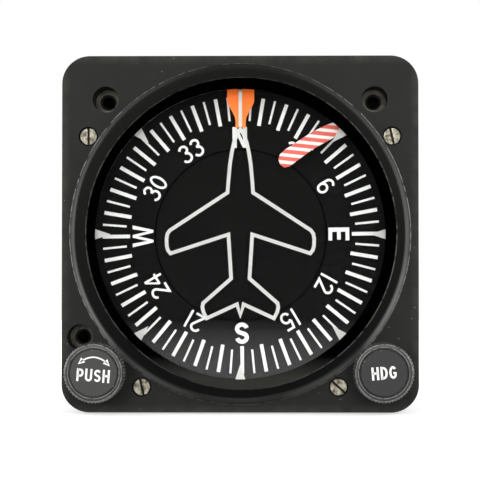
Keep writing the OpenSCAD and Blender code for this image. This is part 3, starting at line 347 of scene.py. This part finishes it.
def glass():
    """Clear glass that lets the lamps' light through to the dial."""
    n = Nodes("window_glass")
    smear = n.noise(90, 4.0)
    body = n.add("BsdfPrincipled")
    tint = n.mix(n.mask(smear, 0.35, 0.75), (0.99, 0.995, 0.99), (0.96, 0.97, 0.965))
    n.put(body.inputs["Base Color"], tint)
    body.inputs["Roughness"].default_value = 0.0
    body.inputs["Transmission Weight"].default_value = 1.0
    body.inputs["IOR"].default_value = 1.5
    clear = n.add("BsdfTransparent")
    path = n.add("LightPath")
    blend = n.add("MixShader")
    n.link(path.outputs["Is Shadow Ray"], blend.inputs[0])
    n.link(body.outputs[0], blend.inputs[1])
    n.link(clear.outputs[0], blend.inputs[2])
    n.link(blend.outputs[0], n.out.inputs[0])
    return n.material


def flag_stripes():
    """Red and white stripes, nearly level across the flag."""
    n = Nodes("flag_stripes")
    x, _, z = n.split()
    along = n.plus(n.times(x, math.sin(STRIPE_TILT)), n.times(z, math.cos(STRIPE_TILT)))
    saw = n.math("FRACT", n.times(n.minus(along, LOWEST_STRIPE_Z), 1 / STRIPE_PAIR))
    band = n.times(n.mask(saw, 0.0, 0.06), n.mask(saw, 0.62, 0.56))
    colour = n.mix(band, (0.79, 0.76, 0.71), (0.66, 0.085, 0.06))
    return n.surface(colour, 0.55, normal=n.bump(n.noise(2500, 2.0), 0.00002, 0.3))


def bug_orange():
    """Fluorescent orange, redder at the top and paler lower down as painted light and shade, with a faint
    emission as a painted glow.
    """
    n = Nodes("bug_orange")
    # Painted light and shade: redder at the top, paler lower down
    fade = n.mask(n.split()[2], 0.0345, 0.0255)
    colour = n.mix(fade, (0.98, 0.16, 0.006), (0.9, 0.21, 0.02))
    # The emission is a painted glow
    n.surface(colour, 0.6, normal=n.bump(n.noise(2500, 2.0), 0.00002, 0.3), Emission_Strength=0.25)
    n.link(colour, n.shader.inputs["Emission Color"])
    return n.material


def screw_metal():
    """Worn nickel, stained in patches, with painted shade that darkens the slot."""
    n = Nodes("screw_metal")
    lines = n.noise(1400, 4.0, 0.7)
    stain = n.mask(n.noise(900, 4.0, 0.7), 0.38, 0.62)
    bright = n.mix(stain, (0.06, 0.055, 0.04), (0.33, 0.305, 0.245))
    # Painted shade: dark down in the slot
    in_slot = n.mask(n.split()[1], SLOT_Y - 0.0002, SLOT_Y)
    colour = n.mix(in_slot, bright, (0.012, 0.011, 0.009))
    return n.surface(colour, n.plus(n.times(lines, 0.3), 0.22), 1.0, n.bump(lines, 0.00006, 0.6))


def insert_metal():
    """Tarnished brass, with painted shade that turns it black down in the thread."""
    n = Nodes("insert_metal")
    grain = n.noise(1500, 3.0)
    stain = n.mask(n.noise(350, 4.0), 0.35, 0.7)
    # Painted shade: black deeper than the insert's face
    colour = n.mix(n.mask(n.split()[1], INSERT_FACE_Y + 0.0001, INSERT_FACE_Y + 0.0006),
                   n.mix(stain, (0.06, 0.057, 0.044), (0.15, 0.14, 0.11)), (0.004, 0.0038, 0.003))
    return n.surface(colour, n.plus(n.times(grain, 0.2), 0.4), 0.8, n.bump(grain, 0.00004, 0.4))


def knob_plastic():
    """Moulded black, grey on the rim's edges and the tips of the knurl, partly from wear and partly as
    painted highlight.
    """
    n = Nodes("knob_plastic")
    fine = n.noise(3400, 2.0)
    x = n.split()[0]
    left, right = n.radius(-KNOB_OUT, -KNOB_DOWN), n.radius(KNOB_OUT, -KNOB_DOWN)
    radius = n.plus(n.times(n.mask(x, 0.0, -0.0001), left), n.times(n.mask(x, 0.0, 0.0001), right))
    tips = n.mask(radius, KNOB_R - 0.00014, KNOB_R - 0.00002)
    rim = n.larger(n.line(radius, RECESS_R + 0.00005, 0.00012), n.line(radius, KNOB_R - 0.00042, 0.00014))
    # Grey edges and knurl tips: wear and painted highlight
    bright_edges = n.times(n.larger(tips, rim), n.mask(n.noise(1300, 3.0), 0.32, 0.55))
    colour = n.mix(bright_edges, (0.016, 0.016, 0.0155), (0.24, 0.24, 0.23))
    return n.surface(colour, n.plus(n.times(fine, 0.15), 0.25), normal=n.bump(fine, 0.00002, 0.3))


def cap_black():
    """Satin grey-black, the left cap painted paler than the right as painted light, with a few bright specks
    of dust where the cap meets the rim.
    """
    n = Nodes("cap_black")
    fine = n.noise(1800, 2.0)
    x = n.split()[0]
    left, right = n.radius(-KNOB_OUT, -KNOB_DOWN), n.radius(KNOB_OUT, -KNOB_DOWN)
    nearest = n.math("MINIMUM", left, right)
    specks = n.times(n.mask(nearest, 0.0048, 0.0054), n.mask(n.noise(1500, 3.0), 0.62, 0.7))
    # Painted light: the left cap is paler than the right
    shade = n.mask(x, -0.03, 0.03)
    base = n.mix(shade, (0.046, 0.0455, 0.0435), (0.028, 0.0275, 0.0275))
    colour = n.mix(n.times(specks, 0.7), base, (0.3, 0.3, 0.28))
    return n.surface(colour, n.plus(n.times(fine, 0.2), 0.35), normal=n.bump(fine, 0.00002, 0.3),
                     Specular_IOR_Level=0.2)


def dial_black():
    """Flat black, darker in the joint between the card and its centre disc."""
    n = Nodes("dial_black")
    fine = n.noise(2600, 2.0)
    joint = n.line(n.radius(), DISC_R + JOINT_GAP / 3, 2 * JOINT_GAP)
    tone = n.mix(n.noise(220, 3.0), (0.003, 0.003, 0.0028), (0.0048, 0.0048, 0.0044))
    colour = n.mix(joint, tone, (0.0004, 0.0004, 0.0004))
    n.surface(colour, n.plus(n.times(fine, 0.2), 0.5), normal=n.bump(fine, 0.00002, 0.4))
    n.link(n.times(n.minus(1.0, joint), 0.03), n.shader.inputs["Specular IOR Level"])
    return n.material


def blacked_steel():
    """Steel, blacked on the face that shows through the joint round the card's centre disc."""
    n = Nodes("blacked_steel")
    lines = n.noise(2600, 3.0, 0.6)
    bare = n.mask(n.split()[1], CARD_HUB_Y + 0.0002, CARD_HUB_Y + 0.0004)
    colour = n.mix(bare, (0.0006, 0.0006, 0.0006), (0.5, 0.5, 0.51))
    n.surface(colour, n.plus(n.times(lines, 0.25), 0.25), 1.0, n.bump(lines, 0.00003, 0.35))
    return n.material


FINISHES = {
    "black_casting": casting_paint(),
    "can_paint": can_paint(),
    "screw_metal": screw_metal(),
    "steel": metal("steel", (0.55, 0.55, 0.56), 0.3, 2600, 0.75),
    "brass": metal("brass", (0.62, 0.45, 0.2), 0.32, 2600, 0.7),
    "insert_metal": insert_metal(),
    "alloy": metal("alloy", (0.62, 0.62, 0.64), 0.35, 2000, 0.8),
    "gasket": plain("gasket", (0.02, 0.02, 0.02), 0.75),
    "glass": glass(),
    "white_paint": plain("white_paint", (0.86, 0.86, 0.84), 0.6, spread=0.03),
    "dial_black": dial_black(),
    "bug_orange": bug_orange(),
    "flag_stripes": flag_stripes(),
    "knob_plastic": knob_plastic(),
    "cap_black": cap_black(),
    "board_green": plain("board_green", (0.03, 0.16, 0.07), 0.35),
    "part_black": plain("part_black", (0.03, 0.03, 0.032), 0.5),
    "copper": metal("copper", (0.6, 0.27, 0.13), 0.3, 2600, 0.8, (1, 12, 1)),
    "insulator": plain("insulator", (0.14, 0.05, 0.025), 0.5),
    "gold_pin": metal("gold_pin", (0.85, 0.62, 0.25), 0.2, 2600, 0.85),
    "connector_metal": metal("connector_metal", (0.38, 0.38, 0.3), 0.4, 2000, 0.7),
}

# Finishes of single nodes, in place of their slot's
OWN_FINISHES = {"card_shaft": blacked_steel()}


def dress_nodes():
    """Gives each CAD node the finish of its slot in the record, or its own."""
    for row in frame["record"]["subparts"]:
        node = bpy.data.objects[row["node"]]
        finish = OWN_FINISHES.get(row["node"]) or FINISHES[row["material_slot"]]
        node.data.materials.clear()
        node.data.materials.append(finish)


dress_nodes()


# Knurled knobs

FLUTES = 54
FLUTE_STEPS = 6
FLUTE_DEPTH = 0.26 * MM
RECESS_DEPTH = 1.4 * MM
KNOB_WELL_R = 3.4 * MM
KNOB_WELL = 4 * MM
KNOB_BORE_R = 1.6 * MM

# The set screw's end, as the knob's profile is written
SET_SCREW = [(0.05 * MM, 0, 0), (0.4 * MM, 0, 0), (0.68 * MM, 0.02 * MM, 0), (0.68 * MM, 0.5 * MM, 0)]


def add_mesh(name, verts, faces, finish, smooth=True):
    mesh = bpy.data.meshes.new(name)
    mesh.from_pydata(verts, [], faces)
    mesh.materials.append(finish)
    if smooth:
        mesh.shade_smooth()
        mesh.set_sharp_from_angle(angle=math.radians(35))
    item = bpy.data.objects.new(name, mesh)
    bpy.context.scene.collection.objects.link(item)
    return item


def revolve(profile, at, steps):
    """Vertices and faces turned about a line along Y. A profile row is (radius, depth, flute depth)."""
    verts, faces = [], []
    for radius, depth, flute in profile:
        for i in range(steps):
            swell = 0.5 + 0.5 * math.cos(2 * math.pi * i / FLUTE_STEPS)
            r = radius - flute * (1 - swell ** 0.6)
            a = 2 * math.pi * i / steps
            verts.append((at[0] + r * math.cos(a), depth, at[1] + r * math.sin(a)))
    for row in range(len(profile) - 1):
        for i in range(steps):
            a, b = row * steps + i, row * steps + (i + 1) % steps
            faces.append((a, b, b + steps, a + steps))
    return verts, faces


def knurled_knob(node, body):
    """The knob's skin with a straight knurl, inside the CAD knob's own outline."""
    low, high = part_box(node)
    at = ((low[0] + high[0]) / 2, (low[2] + high[2]) / 2)
    r, front, back = (high[0] - low[0]) / 2, low[1], high[1]
    floor = front + RECESS_DEPTH
    profile = [
        (0.2 * MM, floor, 0), (RECESS_R, floor, 0), (RECESS_R, front + 0.08 * MM, 0),
        (RECESS_R + 0.08 * MM, front, 0), (r - 0.5 * MM, front, 0), (r - 0.32 * MM, front + 0.12 * MM, 0),
        (r - 0.2 * MM, front + 0.35 * MM, 0), (r, front + 0.75 * MM, FLUTE_DEPTH),
        (r, back - 1.7 * MM, FLUTE_DEPTH), (r - 0.4 * MM, back - 1.0 * MM, 0), (r - 0.65 * MM, back, 0),
        (KNOB_WELL_R, back, 0), (KNOB_WELL_R, back - KNOB_WELL, 0), (KNOB_BORE_R, back - KNOB_WELL, 0)]
    verts, faces = revolve(profile, at, FLUTES * FLUTE_STEPS)
    skin = add_mesh(node + "_knurled", verts, faces, FINISHES["knob_plastic"])
    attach(skin, body)
    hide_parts(node)
    screw_y = front + 0.4 * (back - front)
    screw, faces = revolve(SET_SCREW, (0, 0), 24)
    verts = [(at[0] + r - 0.05 * MM - y, screw_y + x, at[1] + z) for x, y, z in screw]
    grub = add_mesh(node + "_grub_screw", verts, faces, FINISHES["steel"])
    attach(grub, body)


knurled_knob("heading_knob", "heading_knob")
knurled_knob("push_knob", "push_knob")


# Return spring of the PUSH knob

SPRING_BODY = "case"
SPRING_CURLS = 6
SPRING_STEPS = 24
SPRING_SIDES = 8
SPRING_WIRE_R = 0.28 * MM


def return_spring():
    """The coil behind the PUSH knob, built at its rest length, though the real one shortens as the knob is
    pushed in.
    """
    low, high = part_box("push_spring")
    x, z = (low[0] + high[0]) / 2, (low[2] + high[2]) / 2
    coil_r = (high[0] - low[0]) / 2 - SPRING_WIRE_R
    start, length = low[1] + SPRING_WIRE_R, high[1] - low[1] - 2 * SPRING_WIRE_R
    rings = SPRING_CURLS * SPRING_STEPS
    verts, faces = [], []
    for i in range(rings + 1):
        turn = 2 * math.pi * i / SPRING_STEPS
        for k in range(SPRING_SIDES):
            side = 2 * math.pi * k / SPRING_SIDES
            r = coil_r + SPRING_WIRE_R * math.cos(side)
            y = start + length * i / rings + SPRING_WIRE_R * math.sin(side)
            verts.append((x + r * math.cos(turn), y, z + r * math.sin(turn)))
    for i in range(rings):
        for k in range(SPRING_SIDES):
            a, b = i * SPRING_SIDES + k, i * SPRING_SIDES + (k + 1) % SPRING_SIDES
            faces.append((a, a + SPRING_SIDES, b + SPRING_SIDES, b))
    faces.append(tuple(range(SPRING_SIDES)))
    faces.append(tuple(rings * SPRING_SIDES + k for k in reversed(range(SPRING_SIDES))))
    coil = add_mesh("push_spring_coil", verts, faces, FINISHES["steel"])
    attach(coil, SPRING_BODY)
    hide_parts("push_spring")
    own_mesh(coil)


return_spring()


# Legends on the knob caps, drawn as strokes

LETTER_H = 2.95 * MM
LETTER_GAP = 0.13

# The arrow over PUSH: an arc of an ellipse, in degrees from one tip to the other, with a triangle on each end
ARROW_CENTRE_Z = -3.35 * MM
ARROW_RADII = (5.35 * MM, 6.95 * MM)
ARROW_SPAN = (131, 49)
ARROW_LINE_W = 0.32 * MM
ARROW_HEAD = 1.4 * MM
ARROW_HEAD_HALF = 0.72 * MM


def arc(cx, cy, rx, ry, start, end, n):
    return [(cx + rx * math.cos(math.radians(start + (end - start) * i / n)),
             cy + ry * math.sin(math.radians(start + (end - start) * i / n))) for i in range(n + 1)]


# Letters in a box one unit high, each a list of paths, with the letter's width
LETTERS = {
    "P": ([[(0.11, 0), (0.11, 1)],
           [(0.11, 0.89)] + arc(0.34, 0.66, 0.19, 0.23, 90, -90, 12) + [(0.11, 0.43)]], 0.62),
    "U": ([[(0.11, 1), (0.11, 0.33)] + arc(0.33, 0.33, 0.22, 0.22, 180, 360, 12) + [(0.55, 1)]], 0.66),
    "S": ([arc(0.31, 0.7, 0.2, 0.19, 20, 230, 12) + arc(0.31, 0.3, 0.2, 0.19, 50, -160, 12)], 0.62),
    "H": ([[(0.11, 0), (0.11, 1)], [(0.55, 0), (0.55, 1)], [(0.11, 0.52), (0.55, 0.52)]], 0.66),
    "D": ([[(0.11, 0), (0.11, 1)],
           [(0.11, 0.89), (0.26, 0.89)] + arc(0.26, 0.5, 0.28, 0.39, 90, -90, 14) + [(0.11, 0.11)]], 0.65),
    "G": ([arc(0.34, 0.5, 0.24, 0.4, 40, 320, 16) + [(0.57, 0.45), (0.36, 0.45)]], 0.68),
}


def stroke(path, width, verts, faces, place):
    """Adds a flat ribbon along a path, with place() giving each point's position."""
    left = []
    right = []
    for i, p in enumerate(path):
        a, b = path[max(i - 1, 0)], path[min(i + 1, len(path) - 1)]
        dx, dy = b[0] - a[0], b[1] - a[1]
        size = math.hypot(dx, dy) or 1.0
        nx, ny = -dy / size * width / 2, dx / size * width / 2
        left.append((p[0] + nx, p[1] + ny))
        right.append((p[0] - nx, p[1] - ny))
    start = len(verts)
    for p, q in zip(left, right):
        verts.extend((place(p), place(q)))
    for i in range(len(path) - 1):
        a = start + 2 * i
        faces.append((a, a + 1, a + 3, a + 2))


def legend(name, text, body, cap, wide, lift, turn, stroke_w, arrow=False):
    """White letters on a knob cap, raised by lift and turned by degrees, under an arrow where asked."""
    low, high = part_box(cap)
    cx, cz, front = (low[0] + high[0]) / 2, (low[2] + high[2]) / 2, low[1]
    c, s = math.cos(math.radians(turn)), math.sin(math.radians(turn))

    def place(p):
        x, z = p[0], p[1] + lift
        return (cx + x * c - z * s, front - 0.02 * MM, cz + x * s + z * c)

    verts, faces = [], []
    total = sum(LETTERS[letter][1] for letter in text) + LETTER_GAP * (len(text) - 1)
    scale = wide / total
    x = -wide / 2
    for letter in text:
        paths, width = LETTERS[letter]
        for path in paths:
            spread = [(x + px * scale, (py - 0.5) * LETTER_H) for px, py in path]
            stroke(spread, stroke_w, verts, faces, place)
        x += (width + LETTER_GAP) * scale
    if arrow:
        bow = arc(0, ARROW_CENTRE_Z - lift, *ARROW_RADII, *ARROW_SPAN, 16)
        stroke(bow[1:-1], ARROW_LINE_W, verts, faces, place)
        for tip, inner in ((bow[0], bow[2]), (bow[-1], bow[-3])):
            d = math.hypot(inner[0] - tip[0], inner[1] - tip[1])
            ux, uz = (inner[0] - tip[0]) / d, (inner[1] - tip[1]) / d
            base = (tip[0] + ux * ARROW_HEAD, tip[1] + uz * ARROW_HEAD)
            half = ARROW_HEAD_HALF
            start = len(verts)
            verts.extend(place(p) for p in (
                (tip[0] - ux * 0.15 * MM, tip[1] - uz * 0.15 * MM),
                (base[0] - uz * half, base[1] + ux * half), (base[0] + uz * half, base[1] - ux * half)))
            faces.append((start, start + 1, start + 2))
    item = add_mesh(name, verts, faces, FINISHES["white_paint"], smooth=False)
    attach(item, body)


legend("push_legend", "PUSH", "push_knob", "push_knob_cap", 7.6 * MM, -0.55 * MM, -3.9, 0.46 * MM, arrow=True)
legend("heading_legend", "HDG", "heading_knob", "heading_knob_cap", 5.75 * MM, 0.0, 4.6, 0.5 * MM)


# Floor, backdrop, lights and camera

def floor_paint():
    """A pale floor, white to the camera and through glass, that fades into the room gloss mirrors."""
    n = Nodes("floor_paint")
    matt = n.add("BsdfDiffuse")
    matt.inputs[0].default_value = (0.8, 0.8, 0.8, 1.0)
    path = n.add("LightPath")
    seen = n.larger(path.outputs["Is Camera Ray"], path.outputs["Is Transmission Ray"])
    near = n.minus(1.0, n.mask(n.radius_on_floor(), 0.1, 0.5))
    glow = n.add("Emission")
    n.link(n.times(seen, n.minus(1.0, n.times(near, 0.5))), glow.inputs["Strength"])
    lit = n.add("AddShader")
    n.link(matt.outputs[0], lit.inputs[0])
    n.link(glow.outputs[0], lit.inputs[1])
    ahead = n.times(n.split()[1], -1.0)
    stops = [(place, (shade, shade, shade)) for place, shade in MIRRORED_FLOOR]
    fading = n.ramp(n.mask(ahead, 0.0, FLOOR_REACH), *stops)
    image = n.add("Emission")
    n.link(fading, image.inputs["Color"])
    both = n.add("MixShader")
    n.link(path.outputs["Is Glossy Ray"], both.inputs[0])
    n.link(lit.outputs[0], both.inputs[1])
    n.link(image.outputs[0], both.inputs[2])
    n.link(both.outputs[0], n.out.inputs[0])
    return n.material


def make_floor():
    mesh = bpy.data.meshes.new("floor")
    corners = [(x * FLOOR_REACH, y * FLOOR_REACH, FLOOR_Z) for x, y in ((-1, -1), (1, -1), (1, 1), (-1, 1))]
    mesh.from_pydata(corners, [], [(0, 1, 2, 3)])
    floor = bpy.data.objects.new("floor", mesh)
    bpy.context.scene.collection.objects.link(floor)
    mesh.materials.append(floor_paint())


def make_world():
    """White to the camera, even light on the matt surfaces, and a dim room in what gloss mirrors."""
    world = bpy.data.worlds.new("studio")
    bpy.context.scene.world = world
    world.use_nodes = True
    tree = world.node_tree
    tree.nodes.clear()
    out = tree.nodes.new("ShaderNodeOutputWorld")
    path = tree.nodes.new("ShaderNodeLightPath")
    shades = []
    for strength in (TENT_LIGHT, ROOM_SEEN_IN_GLOSS, 1.0):
        shade = tree.nodes.new("ShaderNodeBackground")
        shade.inputs[0].default_value = (1.0, 1.0, 1.0, 1.0)
        shade.inputs[1].default_value = strength
        shades.append(shade.outputs[0])
    below = shades[0]
    for ray, shade in (("Is Glossy Ray", shades[1]), ("Is Camera Ray", shades[2])):
        mix = tree.nodes.new("ShaderNodeMixShader")
        tree.links.new(path.outputs[ray], mix.inputs[0])
        tree.links.new(below, mix.inputs[1])
        tree.links.new(shade, mix.inputs[2])
        below = mix.outputs[0]
    tree.links.new(below, out.inputs[0])


def area_light(name, place, size, power):
    """A rectangular lamp that faces the middle of the flange."""
    lamp = bpy.data.lights.new(name, "AREA")
    lamp.shape = "RECTANGLE"
    lamp.size, lamp.size_y = size
    lamp.energy = power
    item = bpy.data.objects.new(name, lamp)
    item.location = place
    item.rotation_euler = (-Vector(place)).to_track_quat("-Z", "Y").to_euler()
    bpy.context.scene.collection.objects.link(item)


def make_camera():
    data = bpy.data.cameras.new("camera")
    data.sensor_width = SENSOR_MM
    data.lens = FOCAL_PX / FRAME_PX * SENSOR_MM
    data.clip_start = 0.01
    item = bpy.data.objects.new("camera", data)
    item.location = CAMERA_AT
    item.rotation_euler = (Vector(AIM_AT) - Vector(CAMERA_AT)).to_track_quat("-Z", "Y").to_euler()
    bpy.context.scene.collection.objects.link(item)
    bpy.context.scene.camera = item


make_floor()
make_world()
for lamp in LAMPS:
    area_light(*lamp)
make_camera()
bpy.context.scene.view_settings.view_transform = "Standard"
